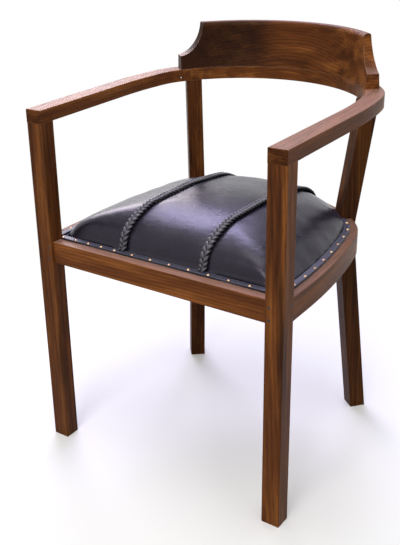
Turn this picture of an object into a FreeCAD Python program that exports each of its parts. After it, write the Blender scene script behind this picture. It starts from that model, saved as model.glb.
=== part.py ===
import FreeCAD
import Part
import os
from math import asin, cos, degrees, hypot, radians, sin, sqrt, tan

# Captains chair in millimetres. It faces -Y and stands on z = 0.
# Plan places are counted from the front faces of the front legs, where y = 0.
# Every piece is moved forwards by half the chair's depth when it is written.
# A heading is 0 degrees where a line runs straight back and 90 where it crosses the middle.

Vec = FreeCAD.Vector

# Overall sizes
overall_width = 535.0
arm_top = 700.0
rail_top = 442.0

# Arms and bow
arm_width = 35.0
arm_thickness = 25.0
arm_straight = 248.0
arm_sweep_radius = 675.0
arm_sweep_turn = 10.0
arm_corner_radius = 120.0
arm_corner_turn = 33.65
seam_heading = 38.0
arm_edge_round = 1.5
spline_length = 24.0
spline_width = 20.0
spline_thickness = 4.0
spline_cover = 6.5

# Crest rail
crest_height = 94.0
crest_base = 28.0
crest_lip = 14.5
crest_lean = 6.0
crest_dish = 2.2
crest_roll = 9.0
crest_back_round = 5.0
crest_end_heading = 32.5
crest_end_turn = 42.0
crest_end_height = 27.7
crest_corner_heading = 44.2
crest_dowel_radius = 4.0
crest_dowel_depth = 12.0
crest_dowel_inset = 16.0
crest_dowel_headings = (52.0, 71.0, 90.0, 109.0, 128.0)

# Front legs
front_leg_depth = 33.0
leg_edge_round = 1.2
leg_tenon_side = 16.0
leg_tenon_height = 13.0

# Rear legs
rear_leg_side = 32.5
rear_leg_turn = 50.0
foot_splay = 48.7
knee_height = 420.0
knee_radius = 150.0
bow_leg_inset = 2.4
rear_tenon_side = 12.0
rear_tenon_height = 11.0

# Seat rails
rail_height = 43.0
front_rail_setback = 7.0
front_rail_thickness = 30.0
side_rail_setback = 2.35
side_rail_thickness = 26.0
side_rail_straight = 86.0
side_rail_sweep_radius = 1180.0
side_rail_sweep_turn = 12.0
rail_corner_radius = 150.0
rail_run_in = 5.1
rear_leg_proud = 7.3
rail_edge_round = 1.5
rail_tenon_thickness = 9.0
rail_tenon_shoulder = 6.0
rail_tenon_cover = 2.0
front_tenon_length = 13.0
side_tenon_length = 21.0
rear_tenon_length = 12.0

# Pegs and pins
peg_radius = 2.6
peg_pitch = 23.0
peg_proud = 0.3
front_peg_inset = 7.5
side_peg_inset = 7.0
pin_radius = 1.5
pin_length = 12.0
pin_heading = 32.1
pin_drop = 16.5

# Corner blocks and their screws
front_block_leg = 48.0
rear_block_reach = 34.0
rear_block_depth = 40.0
block_height = 30.0
screw_radius = 2.0
screw_head_radius = 4.0
screw_head_height = 2.6
screw_bite = 12.0
board_screw_bite = 5.0
board_screw_hold = 20.0
board_screw_share = 0.2
screw_share = 0.4
screw_seat = 14.0
rear_screw_seat = 18.0
screw_rise = 12.0
screw_gap = 0.4

# Seat
board_thickness = 8.0
front_margin = 19.0
side_margin = 14.5
leather_thickness = 1.6
band_width = 12.0
band_thickness = 2.0
band_setback = 0.6
crown_height = 74.0
crown_setback = 13.0
crown_peak = 200.0
crown_corner = 31.0
crown_side_power = 1.75
crown_front_power = 2.6
front_bulge = 2.0
panel_half_width = 88.0
lace_width = 17.0
lace_thickness = 3.0
nail_radius = 3.3
nail_height = 2.2
nail_inset = 4.4
nail_shank_radius = 0.8
nail_bite = 6.0
front_nail_margin = 4.5
side_nail_margin = 40.0
rear_nail_margin = 22.0
close_nail_pitch = 31.5
close_nails = 4
front_nail_pitch = 41.0
side_nail_pitch = 40.0
rear_nail_pitch = 36.0

# Clearances
joint_gap = 0.2
notch_gap = 1.2
lay_gap = 0.3

# Sizes that follow
half_width = overall_width / 2
arm_inner = half_width - arm_width
arm_bottom = arm_top - arm_thickness
rail_bottom = rail_top - rail_height
shelf_top = rail_top - board_thickness
front_leg_inner = arm_inner
leg_middle = half_width - arm_width / 2
side_rail_outer = half_width - side_rail_setback
front_rail_back = front_rail_setback + front_rail_thickness
leather_front = front_rail_setback + front_margin
flange_top = rail_top + leather_thickness
band_top = flange_top + band_thickness
crown_inset = side_margin + crown_setback
far = 2 * overall_width


def outward(heading):
    return Vec(cos(radians(heading)), sin(radians(heading)), 0)


def onward(heading):
    return Vec(-sin(radians(heading)), cos(radians(heading)), 0)


class Track:
    """Right half of a line in plan, from the front back and round to the left half.

    Distances run along the line itself, and offsets are positive away from the seat.
    """

    def __init__(self, x):
        self.end = Vec(x, 0, 0)
        self.heading = 0.0
        self.length = 0.0
        self.parts = []

    def line(self, length):
        self.parts.append((self.length, length, self.end, self.heading, None))
        self.end = self.end + onward(self.heading) * length
        self.length += length

    def arc(self, radius, heading):
        length = radius * radians(heading - self.heading)
        centre = self.end - outward(self.heading) * radius
        self.parts.append((self.length, length, centre, self.heading, radius))
        self.end = centre + outward(heading) * radius
        self.heading = heading
        self.length += length

    def on_part(self, part, distance, offset):
        start, length, place, heading, radius = part
        if radius is None:
            return place + onward(heading) * (distance - start) + outward(heading) * offset
        turned = heading + degrees((distance - start) / radius)
        return place + outward(turned) * (radius + offset)

    def point(self, distance, offset=0.0):
        for part in self.parts:
            if distance <= part[0] + part[1]:
                break
        return self.on_part(part, distance, offset)

    def at_heading(self, wanted):
        """Distance of the place where the line has this heading."""
        for start, length, place, heading, radius in self.parts:
            if radius is not None and wanted <= heading + degrees(length / radius):
                return start + radius * radians(wanted - heading)
        return self.length

    def spans(self, first, last):
        """Each part that lies between two distances, with its own first and last distance."""
        for part in self.parts:
            low = max(first, part[0])
            high = min(last, part[0] + part[1])
            if high - low > 0.01:
                yield part, low, high

    def edges(self, first, last, offset, z=0.0):
        drawn = []
        for part, low, high in self.spans(first, last):
            places = (low, (low + high) / 2, high)
            ends = [self.on_part(part, place, offset) + Vec(0, 0, z) for place in places]
            if part[4] is None:
                drawn.append(Part.LineSegment(ends[0], ends[2]).toShape())
            else:
                drawn.append(Part.Arc(*ends).toShape())
        return drawn

    def strip(self, first, last, inner, outer, low, high):
        """Upright wall between two offsets and two heights."""
        walls = [self.edges(first, last, offset, low) for offset in (inner, outer)]
        starts = [wall[0].Vertexes[0].Point for wall in walls]
        ends = [wall[-1].Vertexes[-1].Point for wall in walls]
        closing = [Part.LineSegment(*starts).toShape(), Part.LineSegment(*ends).toShape()]
        outline = Part.Wire(Part.__sortEdges__(walls[0] + walls[1] + closing))
        return Part.Face(outline).extrude(Vec(0, 0, high - low))

    def sweep(self, first, last, section):
        """Solid with one section (offset, z) along the line, as a turned piece on each arc."""
        bodies = []
        for part, low, high in self.spans(first, last):
            start, length, place, heading, radius = part
            if radius is None:
                face = section(self.on_part(part, low, 0.0), heading)
                bodies.append(face.extrude(onward(heading) * (high - low)))
            else:
                turned = heading + degrees((low - start) / radius)
                face = section(self.on_part(part, low, 0.0), turned)
                bodies.append(face.revolve(place, Vec(0, 0, 1), degrees((high - low) / radius)))
        return join(*bodies)


def block(x0, x1, y0, y1, z0, z1):
    return Part.makeBox(x1 - x0, y1 - y0, z1 - z0, Vec(x0, y0, z0))


def rod(start, direction, radius, length):
    return Part.makeCylinder(radius, length, start, direction)


def mirrored(shape):
    return shape.mirror(Vec(0, 0, 0), Vec(1, 0, 0))


def join(first, *others):
    return first.fuse(list(others)).removeSplitter() if others else first


def moved(shape, place, heading):
    """Set a shape drawn with x outwards and y onwards at a place and heading in plan."""
    turn = FreeCAD.Rotation(Vec(0, 0, 1), heading)
    copy = shape.copy()
    copy.Placement = FreeCAD.Placement(place, turn).multiply(copy.Placement)
    return copy


def rounded(shape, radius, wanted):
    edges = [edge for edge in shape.Edges if wanted(edge)]
    return shape.makeFillet(radius, edges) if edges else shape


def is_upright(edge):
    ends = [vertex.Point for vertex in edge.Vertexes]
    return len(ends) == 2 and hypot(ends[0].x - ends[1].x, ends[0].y - ends[1].y) < 0.01


def lies_at(edge, height):
    return all(abs(vertex.Point.z - height) < 0.01 for vertex in edge.Vertexes)


def bent_path(first, corner, last, radius):
    """Edges of a two-legged line with its corner rounded."""
    before = (corner - first).normalize()
    after = (last - corner).normalize()
    turn = before.getAngle(after)
    back = radius * tan(turn / 2)
    start = corner - before * back
    end = corner + after * back
    inwards = (after - before).normalize()
    middle = corner + inwards * (radius / cos(turn / 2) - radius)
    return [
        Part.LineSegment(first, start).toShape(),
        Part.Arc(start, middle, end).toShape(),
        Part.LineSegment(end, last).toShape(),
    ]


# Lines in plan: the inner line of the arms and bow, and the outer line of the seat rails

bow = Track(arm_inner)
bow.line(arm_straight)
bow.arc(arm_sweep_radius, arm_sweep_turn)
bow.arc(arm_corner_radius, arm_corner_turn)
bow_radius = bow.end.x / cos(radians(arm_corner_turn))
bow_centre = bow.end - outward(arm_corner_turn) * bow_radius
bow.arc(bow_radius, 180 - arm_corner_turn)
overall_depth = bow_centre.y + bow_radius + arm_width

rails = Track(side_rail_outer)
rails.line(side_rail_straight)
rails.arc(side_rail_sweep_radius, side_rail_sweep_turn)
rails.arc(rail_corner_radius, rear_leg_turn)
rail_corner_end = rails.length
leg_corner = (
    rails.end
    - onward(rear_leg_turn) * rail_run_in
    - outward(rear_leg_turn) * (rear_leg_side - rear_leg_proud)
)
rails.line(rear_leg_side - rail_run_in)
rear_rail_start = rails.length
rails.arc(rails.end.x / cos(radians(rear_leg_turn)), 180 - rear_leg_turn)
rear_rail_end = rails.length

# The rear leg leans out above the seat until its top is under the middle of the bow, less an inset
leg_centre = leg_corner + (outward(rear_leg_turn) + onward(rear_leg_turn)) * (rear_leg_side / 2)
to_centre = leg_centre - bow_centre
reach = bow_radius + arm_width / 2 - bow_leg_inset
lean = to_centre.dot(outward(rear_leg_turn))
top_splay = -lean + sqrt(lean ** 2 + reach ** 2 - to_centre.dot(to_centre))
leg_top_centre = leg_centre + outward(rear_leg_turn) * top_splay


def rear_leg_room(gap):
    """Space that the right rear leg takes at the seat, with a gap all round."""
    room = block(-gap, rear_leg_side + foot_splay, -gap, rear_leg_side + gap, 0, arm_top)
    return moved(room, leg_corner, rear_leg_turn)


def front_leg_room(gap):
    return block(front_leg_inner - gap, half_width + gap, -gap, front_leg_depth + gap, 0, arm_top)


def legs_room(gap):
    """Space of all four legs at the seat."""
    right = [rear_leg_room(gap), front_leg_room(gap)]
    return right + [mirrored(room) for room in right]


# Front legs

def leg_tenon(gap):
    half = leg_tenon_side / 2 + gap
    middle = front_leg_depth / 2
    top = arm_bottom + leg_tenon_height + gap
    return block(leg_middle - half, leg_middle + half, middle - half, middle + half, arm_bottom, top)


def front_tenon(gap):
    """Tenon of the front rail in the right front leg."""
    middle = front_rail_setback + front_rail_thickness / 3
    half = rail_tenon_thickness / 2 + gap
    low = rail_bottom + rail_tenon_shoulder - gap
    high = shelf_top - rail_tenon_cover + gap
    end = front_leg_inner + front_tenon_length + gap
    return block(front_leg_inner, end, middle - half, middle + half, low, high)


def side_tenon(gap):
    """Tenon of the side rail in the right front leg."""
    middle = side_rail_outer - side_rail_thickness / 2
    half = rail_tenon_thickness / 2 + gap
    low = rail_bottom + rail_tenon_shoulder - gap
    high = shelf_top - rail_tenon_cover + gap
    start = front_leg_depth - side_tenon_length - gap
    return block(middle - half, middle + half, start, front_leg_depth, low, high)


def peg_heights():
    middle = (rail_top + rail_bottom) / 2
    return (middle - peg_pitch / 2, middle + peg_pitch / 2)


def front_pegs(gap):
    depth = front_rail_setback + front_rail_thickness / 3 + rail_tenon_thickness
    x = front_leg_inner + front_peg_inset
    return [rod(Vec(x, -peg_proud, z), Vec(0, 1, 0), peg_radius + gap, depth + gap) for z in peg_heights()]


def side_pegs(gap):
    depth = side_rail_setback + side_rail_thickness / 2 + rail_tenon_thickness
    y = front_leg_depth - side_peg_inset
    start = half_width + peg_proud
    return [rod(Vec(start, y, z), Vec(-1, 0, 0), peg_radius + gap, depth + gap) for z in peg_heights()]


def front_leg():
    post = block(front_leg_inner, half_width, 0, front_leg_depth, 0, arm_bottom)
    post = rounded(post, leg_edge_round, is_upright)
    post = join(post, leg_tenon(0))
    return post.cut([front_tenon(joint_gap), side_tenon(joint_gap)] + front_pegs(0) + side_pegs(0))


# Rear legs

def rear_tenon(gap):
    """Tenon on top of the right rear leg."""
    half = rear_tenon_side / 2 + gap
    top = arm_bottom + rear_tenon_height + gap
    return moved(block(-half, half, -half, half, arm_bottom, top), leg_top_centre, rear_leg_turn)


def rear_rail_tenon(start, end, gap):
    """Tenon in the rear leg, between two places across it."""
    out = rear_leg_side - rear_leg_proud - side_rail_thickness / 2
    half = rail_tenon_thickness / 2 + gap
    low = rail_bottom + rail_tenon_shoulder - gap
    high = shelf_top - rail_tenon_cover + gap
    return moved(block(out - half, out + half, start, end, low, high), leg_corner, rear_leg_turn)


def side_rail_rear_tenon(gap):
    return rear_rail_tenon(0, rear_tenon_length + gap, gap)


def rear_rail_end_tenon(gap):
    return rear_rail_tenon(rear_leg_side - rear_tenon_length - gap, rear_leg_side, gap)


def rear_leg():
    foot = Vec(foot_splay, 0, 0)
    knee = Vec(0, 0, knee_height)
    top = Vec(top_splay, 0, arm_bottom)
    inner = bent_path(foot, knee, top, knee_radius)
    outer = [edge.translated(Vec(rear_leg_side, 0, 0)) for edge in inner]
    across = [
        Part.LineSegment(point, point + Vec(rear_leg_side, 0, 0)).toShape()
        for point in (foot, top)
    ]
    outline = Part.Wire(Part.__sortEdges__(inner + outer + across))
    post = Part.Face(outline).extrude(Vec(0, rear_leg_side, 0))
    post = rounded(post, leg_edge_round, runs_along_leg)
    post = join(moved(post, leg_corner, rear_leg_turn), rear_tenon(0))
    return post.cut([side_rail_rear_tenon(joint_gap), rear_rail_end_tenon(joint_gap)])


def runs_along_leg(edge):
    heights = [vertex.Point.z for vertex in edge.Vertexes]
    return max(heights) - min(heights) > rear_leg_side / 2


# Arms, bow and the pieces inside their joints

seam = bow.at_heading(seam_heading)
half_bow = bow.at_heading(90)


def spline(gap):
    """Loose tongue across the seam between the right arm and the bow."""
    across = spline_width / 2 + gap
    half = spline_length / 2 + gap
    top = arm_top - spline_cover + gap
    low = arm_top - spline_cover - spline_thickness - gap
    return moved(block(-across, across, -half, half, low, top), bow.point(seam, arm_width / 2), seam_heading)


def pin(gap):
    place = bow.point(bow.at_heading(pin_heading), -peg_proud) + Vec(0, 0, arm_top - pin_drop)
    return rod(place, outward(pin_heading), pin_radius + gap, pin_length + gap)


def edged_strip(first, last):
    strip = bow.strip(first, last, 0, arm_width, arm_bottom, arm_top)
    return rounded(strip, arm_edge_round, lambda edge: lies_at(edge, arm_top) and not is_seam(edge))


def is_seam(edge):
    """True for a straight edge across the bow, except the arm's own front end."""
    ends = [vertex.Point for vertex in edge.Vertexes]
    return edge.Length < arm_width + 1 and min(end.y for end in ends) > 1


def arm():
    piece = edged_strip(0, seam)
    return piece.cut([leg_tenon(joint_gap), spline(joint_gap), pin(0)])


def back_bow():
    right = edged_strip(seam, half_bow)
    right = right.cut([rear_tenon(joint_gap), spline(joint_gap)])
    whole = join(right, mirrored(right))
    return whole.cut(crest_dowels(joint_gap / 2))


def crest_section(place, heading):
    """Upright section of the crest rail, drawn on the bow's inner line."""
    roll = crest_height - crest_roll
    back = crest_lean + crest_lip
    peak = back - crest_back_round
    turn = sqrt(0.5)
    points = [
        (0, 0),
        (crest_lean / 2 + crest_dish, roll / 2),
        (crest_lean, roll),
        (peak - (peak - crest_lean) * turn, roll + crest_roll * turn),
        (peak, crest_height),
        (peak + crest_back_round * turn, crest_height - crest_back_round * (1 - turn)),
        (back, crest_height - crest_back_round),
        (crest_base, 0),
    ]
    spots = [place + outward(heading) * off + Vec(0, 0, arm_top + z) for off, z in points]
    edges = [
        Part.Arc(spots[0], spots[1], spots[2]).toShape(),
        Part.Arc(spots[2], spots[3], spots[4]).toShape(),
        Part.Arc(spots[4], spots[5], spots[6]).toShape(),
        Part.LineSegment(spots[6], spots[7]).toShape(),
        Part.LineSegment(spots[7], spots[0]).toShape(),
    ]
    return Part.Face(Part.Wire(edges))


def crest_scoop():
    """Hollow at the right end: a quarter of an oval from the end block up to the top corner."""
    top = bow.point(bow.at_heading(crest_corner_heading), crest_lean + crest_lip)
    end = bow.point(bow.at_heading(crest_end_heading), crest_base / 2)
    along_end = top - end
    length = along_end.Length
    height = crest_height - crest_end_height
    turn = degrees(asin(-along_end.x / length))
    oval = Part.Ellipse(Vec(0, 0, 0), max(length, height), min(length, height)).toShape()
    face = Part.Face(Part.Wire([oval]))
    if height > length:
        face.rotate(Vec(0, 0, 0), Vec(0, 0, 1), 90)
    face.rotate(Vec(0, 0, 0), Vec(1, 0, 0), 90)
    face.rotate(Vec(0, 0, 0), Vec(0, 0, 1), 90)
    cutter = face.extrude(Vec(4 * crest_base, 0, 0))
    cutter = cutter.translated(Vec(-2 * crest_base, 0, arm_top + crest_height))
    return moved(cutter, end, turn)


def crest_rail():
    first = bow.at_heading(crest_end_heading)
    right = bow.sweep(first - crest_base, half_bow, crest_section)
    corner = bow.point(first)
    beyond = block(-far, far, -far, 0, arm_top - 1, arm_top + 2 * crest_height)
    right = right.cut([moved(beyond, corner, crest_end_turn), crest_scoop()])
    whole = join(right, mirrored(right))
    return whole.cut(crest_dowels(joint_gap / 2))


def crest_dowels(gap):
    reach = crest_dowel_depth + gap
    low = Vec(0, 0, arm_top - reach)
    places = [bow.point(bow.at_heading(heading), crest_dowel_inset) for heading in crest_dowel_headings]
    return [
        rod(place + low, Vec(0, 0, 1), crest_dowel_radius + gap, 2 * reach)
        for place in places
    ]


# Seat rails

def front_rail():
    end = front_leg_inner
    piece = block(-end, end, front_rail_setback, front_rail_back, rail_bottom, rail_top)
    piece = rounded(piece, rail_edge_round, is_front_top)
    rebate = block(-far, far, leather_front, front_rail_back + 1, shelf_top, rail_top + 1)
    tenon = front_tenon(0)
    piece = join(piece.cut(rebate), tenon, mirrored(tenon))
    pegs = front_pegs(0)
    return piece.cut(pegs + [mirrored(peg) for peg in pegs] + block_screws(0))


def is_front_top(edge):
    return lies_at(edge, rail_top) and edge.BoundBox.YMax < leather_front


def rail_wall(first, last):
    wall = rails.strip(first, last, -side_rail_thickness, 0, rail_bottom, rail_top)
    wall = rounded(wall, rail_edge_round, lambda edge: lies_at(edge, rail_top) and is_outer(edge))
    rebate = rails.strip(first - 1, last + 1, -side_rail_thickness - 1, -side_margin, shelf_top, rail_top + 1)
    return wall.cut(rebate)


def is_outer(edge):
    """True for the edges that run along the outer line of the rails."""
    middle = edge.valueAt((edge.FirstParameter + edge.LastParameter) / 2)
    ends = [vertex.Point for vertex in edge.Vertexes]
    chord = (ends[1] - ends[0]).Length
    nearest = min(
        (rails.on_part(part, low + (high - low) * step / 200, 0) + Vec(0, 0, middle.z) - middle).Length
        for part, low, high in rails.spans(0, rails.length)
        for step in range(201)
    )
    return nearest < 1.5 and chord > 1.5 * rail_edge_round


def side_rail():
    wall = rail_wall(front_leg_depth, rail_corner_end + rear_leg_side / 2)
    behind = moved(block(-far, far, 0, far, 0, arm_top), leg_corner, rear_leg_turn)
    piece = join(wall.cut(behind), side_tenon(0), side_rail_rear_tenon(0))
    return piece.cut(side_pegs(0) + block_screws(0))


def rear_rail():
    wall = rail_wall(rear_rail_start, rear_rail_end)
    tenon = rear_rail_end_tenon(0)
    return join(wall, tenon, mirrored(tenon)).cut(block_screws(0))


# Corner blocks and screws

def front_corner_block():
    inner = side_rail_outer - side_rail_thickness
    corner = Vec(inner, front_rail_back, shelf_top - block_height)
    points = [
        corner,
        corner + Vec(-front_block_leg, 0, 0),
        corner + Vec(0, front_block_leg, 0),
        corner,
    ]
    piece = Part.Face(Part.makePolygon(points)).extrude(Vec(0, 0, block_height))
    return piece.cut(block_screws(screw_gap) + board_screws(screw_gap))


def rear_corner_block():
    low = shelf_top - block_height
    first = -rear_block_reach
    last = rear_leg_side + rear_block_reach
    inner = -rear_block_depth
    across = block(inner, rear_leg_side, first, last, low, shelf_top)
    across = moved(across, leg_corner, rear_leg_turn)
    thick = -side_rail_thickness
    around = rails.strip(front_leg_depth, rear_rail_end, thick, far / 4, low - 1, shelf_top + 1)
    piece = across.cut([around, rear_leg_room(0)])
    return piece.cut(block_screws(screw_gap) + board_screws(screw_gap))


def screw(seat, direction, length, gap):
    """Pan-head screw, or with a gap its hole with a wide counterbore behind the head."""
    shank = rod(seat, direction, screw_radius + gap, length)
    behind = screw_head_height if gap == 0 else front_block_leg
    head = rod(seat - direction * behind, direction, screw_head_radius + gap, behind)
    return join(shank, head)


def block_screws(gap):
    """Screws that hold the corner blocks to the rails, or their holes."""
    x = side_rail_outer - side_rail_thickness
    y = front_rail_back
    reach_in = front_block_leg * screw_share
    high = shelf_top - (block_height - screw_rise) / 2
    low = high - screw_rise
    length = screw_seat + screw_bite
    right = [
        screw(Vec(x - reach_in, y + screw_seat, high), Vec(0, -1, 0), length, gap),
        screw(Vec(x - screw_seat, y + reach_in, low), Vec(1, 0, 0), length, gap),
    ]
    side = outward(rear_leg_turn)
    apart = rear_block_reach * (1 - screw_share)
    for place in (-apart, rear_leg_side + apart):
        seat = leg_corner + onward(rear_leg_turn) * place - side * rear_screw_seat + Vec(0, 0, high)
        right.append(screw(seat, side, length, gap))
    return right + [mirrored(item) for item in right]


def board_screws(gap):
    """Screws up through the corner blocks into the seat board, or their holes."""
    x = side_rail_outer - side_rail_thickness - front_block_leg * board_screw_share
    y = front_rail_back + front_block_leg * board_screw_share
    rear = leg_corner + onward(rear_leg_turn) * (rear_leg_side / 2)
    rear = rear - outward(rear_leg_turn) * (rear_block_depth / 2)
    seat = Vec(0, 0, shelf_top - board_screw_hold)
    length = board_screw_hold + board_screw_bite
    right = [screw(place + seat, Vec(0, 0, 1), length, gap) for place in (Vec(x, y, 0), rear)]
    return right + [mirrored(item) for item in right]


# Seat

def plate(inset, front, low, high):
    """Flat piece inside the rails, at an inset from their outer line and a place for its front."""
    half = rails.at_heading(90)
    drawn = rails.edges(front, half, -inset, low)
    first = drawn[0].Vertexes[0].Point
    last = drawn[-1].Vertexes[-1].Point
    drawn += [
        Part.LineSegment(last, Vec(0, front, low)).toShape(),
        Part.LineSegment(Vec(0, front, low), first).toShape(),
    ]
    right = Part.Face(Part.Wire(Part.__sortEdges__(drawn))).extrude(Vec(0, 0, high - low))
    return join(right, mirrored(right))


def seat_board():
    board = plate(side_margin + lay_gap, leather_front + lay_gap, shelf_top, rail_top)
    return board.cut(legs_room(notch_gap) + board_screws(0) + nail_shanks(all_nails()))


def crown(inset, height):
    """Crowned form on the seat board, lofted through rounded outlines that draw in upwards."""
    shares = (1.0, 0.985, 0.95, 0.88, 0.78, 0.65, 0.48, 0.28, 0.1)
    levels = []
    for share in shares:
        rise = (1 - share ** 2) ** (1 / crown_side_power)
        front_share = sqrt(max(1 - rise ** crown_front_power, share ** 2 / 4))
        levels.append(crown_outline(inset, share, front_share, rail_top + height * rise))
    return Part.makeLoft(levels, True, False)


def crown_outline(inset, share, front_share, z):
    line = -(crown_inset + inset)
    front = leather_front + crown_setback + inset
    side = side_rail_outer + line
    corner = Vec(side - crown_corner, front + crown_corner, 0)
    slant = crown_corner * sqrt(0.5)
    sweep_end = rails.at_heading(side_rail_sweep_turn)
    points = [
        Vec(0, front, 0),
        Vec(corner.x, front + front_bulge, 0),
        corner + Vec(slant, -slant, 0),
        Vec(side, corner.y, 0),
        rails.point((corner.y + sweep_end) / 2, line),
        rails.point(sweep_end, line),
        rails.point((sweep_end + rail_corner_end) / 2, line),
        rails.point(rail_corner_end, line),
        rails.point(rear_rail_start, line),
        rails.point(rails.at_heading(90), line),
    ]
    spots = []
    for point in points:
        scale = front_share if point.y < crown_peak else share
        spots.append(Vec(point.x * share, crown_peak + (point.y - crown_peak) * scale, z))
    other = [Vec(-spot.x, spot.y, spot.z) for spot in spots]
    edges = [
        Part.Arc(other[1], spots[0], spots[1]),
        Part.Arc(spots[1], spots[2], spots[3]),
        Part.Arc(spots[3], spots[4], spots[5]),
        Part.Arc(spots[5], spots[6], spots[7]),
        Part.LineSegment(spots[7], spots[8]),
        Part.Arc(spots[8], spots[9], other[8]),
        Part.LineSegment(other[8], other[7]),
        Part.Arc(other[7], other[6], other[5]),
        Part.Arc(other[5], other[4], other[3]),
        Part.Arc(other[3], other[2], other[1]),
    ]
    return Part.Wire([edge.toShape() for edge in edges])


def seat_pad():
    gap = leather_thickness + lay_gap
    return crown(gap, crown_height - gap)


def leather_cover():
    """Whole cover: the crowned shell with a flat edge under the band."""
    edge = plate(side_margin + lay_gap, leather_front + lay_gap, rail_top, flange_top)
    cover = join(crown(0, crown_height), edge)
    hollow = crown(leather_thickness, crown_height - leather_thickness)
    return cover.cut([hollow] + legs_room(notch_gap) + nail_shanks(all_nails()))


def leather_panels():
    cover = leather_cover()
    low = rail_top - 1
    high = rail_top + 2 * crown_height
    return {
        "leather_left": cover.common(block(-far, -panel_half_width, -far, far, low, high)),
        "leather_centre": cover.common(block(-panel_half_width, panel_half_width, -far, far, low, high)),
        "leather_right": cover.common(block(panel_half_width, far, -far, far, low, high)),
    }


def lace():
    """Lace over the right seam, a plain strip that follows the crown."""
    skin = crown(-lace_thickness, crown_height + lace_thickness).cut(crown(0, crown_height))
    half = lace_width / 2
    low = band_top + lay_gap
    high = rail_top + 2 * crown_height
    window = block(panel_half_width - half, panel_half_width + half, -far, far, low, high)
    return skin.common(window)


def front_band():
    front = leather_front + band_setback
    end = front_leg_inner - notch_gap
    band = block(-end, end, front, front + band_width, flange_top, band_top)
    return band.cut(nail_shanks(front_nails()))


def band_along_rails(first, last, places):
    outer = -(side_margin + lay_gap + band_setback)
    band = rails.strip(first, last, outer - band_width, outer, flange_top, band_top)
    return band.cut(legs_room(notch_gap) + nail_shanks(places))


def side_band():
    return band_along_rails(front_leg_depth + notch_gap, rail_corner_end, side_nails())


def rear_band():
    return band_along_rails(rear_rail_start, rear_rail_end, rear_nails())


# Nails: places on top of the band

def spaced(first, last, pitch):
    """Even places between two ends, as near to the pitch as they divide."""
    spaces = max(1, round((last - first) / pitch))
    return [first + (last - first) * number / spaces for number in range(spaces + 1)]


def front_nails():
    """Nails along the front, which start closer together at the left leg."""
    end = front_leg_inner - front_nail_margin
    line = leather_front + nail_inset
    close = [number * close_nail_pitch - end for number in range(close_nails)]
    even = spaced(close_nails * close_nail_pitch - end, end, front_nail_pitch)
    return [Vec(place, line, band_top) for place in close + even]


def nails_along_rails(first, last, pitch):
    line = -(side_margin + nail_inset)
    return [rails.point(place, line) + Vec(0, 0, band_top) for place in spaced(first, last, pitch)]


def side_nails():
    first = front_leg_depth + side_nail_margin
    return nails_along_rails(first, rail_corner_end - side_nail_margin, side_nail_pitch)


def rear_nails():
    first = rear_rail_start + rear_nail_margin
    return nails_along_rails(first, rear_rail_end - rear_nail_margin, rear_nail_pitch)


def all_nails():
    right = side_nails()
    return front_nails() + right + [Vec(-place.x, place.y, place.z) for place in right] + rear_nails()


def nail_shanks(places):
    length = band_thickness + leather_thickness + nail_bite
    return [rod(place, Vec(0, 0, -1), nail_shank_radius, length) for place in places]


def nails(places):
    """Domed nails, each with its shank down into the seat board."""
    ball = (nail_radius ** 2 + nail_height ** 2) / (2 * nail_height)
    half_turn = asin(nail_radius / ball) / 2
    shoulder = Vec(ball * sin(half_turn), 0, nail_height - ball + ball * cos(half_turn))
    profile = Part.Wire([
        Part.LineSegment(Vec(0, 0, 0), Vec(nail_radius, 0, 0)).toShape(),
        Part.Arc(Vec(nail_radius, 0, 0), shoulder, Vec(0, 0, nail_height)).toShape(),
        Part.LineSegment(Vec(0, 0, nail_height), Vec(0, 0, 0)).toShape(),
    ])
    dome = Part.Face(profile).revolve(Vec(0, 0, 0), Vec(0, 0, 1), 360)
    nail = join(dome, nail_shanks([Vec(0, 0, 0)])[0])
    return Part.makeCompound([nail.translated(place) for place in places])


def pair(name, right):
    return {name + "_right": right, name + "_left": mirrored(right)}


def both_sides(items):
    return Part.makeCompound(items + [mirrored(item) for item in items])


pieces = {
    **pair("front_leg", front_leg()),
    **pair("rear_leg", rear_leg()),
    "front_rail": front_rail(),
    **pair("side_rail", side_rail()),
    "rear_rail": rear_rail(),
    **pair("arm", arm()),
    "back_bow": back_bow(),
    **pair("bow_spline", spline(0)),
    "crest_rail": crest_rail(),
    "crest_dowels": Part.makeCompound(crest_dowels(0)),
    **pair("front_corner_block", front_corner_block()),
    **pair("rear_corner_block", rear_corner_block()),
    "corner_block_screws": Part.makeCompound(block_screws(0)),
    "front_rail_pegs": both_sides(front_pegs(0)),
    "side_rail_pegs": both_sides(side_pegs(0)),
    "arm_pins": both_sides([pin(0)]),
    "seat_board": seat_board(),
    "seat_board_screws": Part.makeCompound(board_screws(0)),
    "seat_pad": seat_pad(),
    **leather_panels(),
    **pair("lace", lace()),
    "edge_band_front": front_band(),
    **pair("edge_band", side_band()),
    "edge_band_rear": rear_band(),
    "nails_front": nails(front_nails()),
    **pair("nails", nails(side_nails())),
    "nails_rear": nails(rear_nails()),
}

os.makedirs("parts", exist_ok=True)
for name, piece in pieces.items():
    placed = piece.translated(Vec(0, -overall_depth / 2, 0))
    placed.exportStep("parts/" + name + ".step")
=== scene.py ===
"""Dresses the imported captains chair: oiled walnut, near-black leather with braided laces, brass nails."""

import math

import bmesh
import bpy
from bpy.props import FloatProperty, FloatVectorProperty, IntProperty, PointerProperty
from mathutils import Euler, Matrix, Vector, noise
from mathutils.bvhtree import BVHTree


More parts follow.
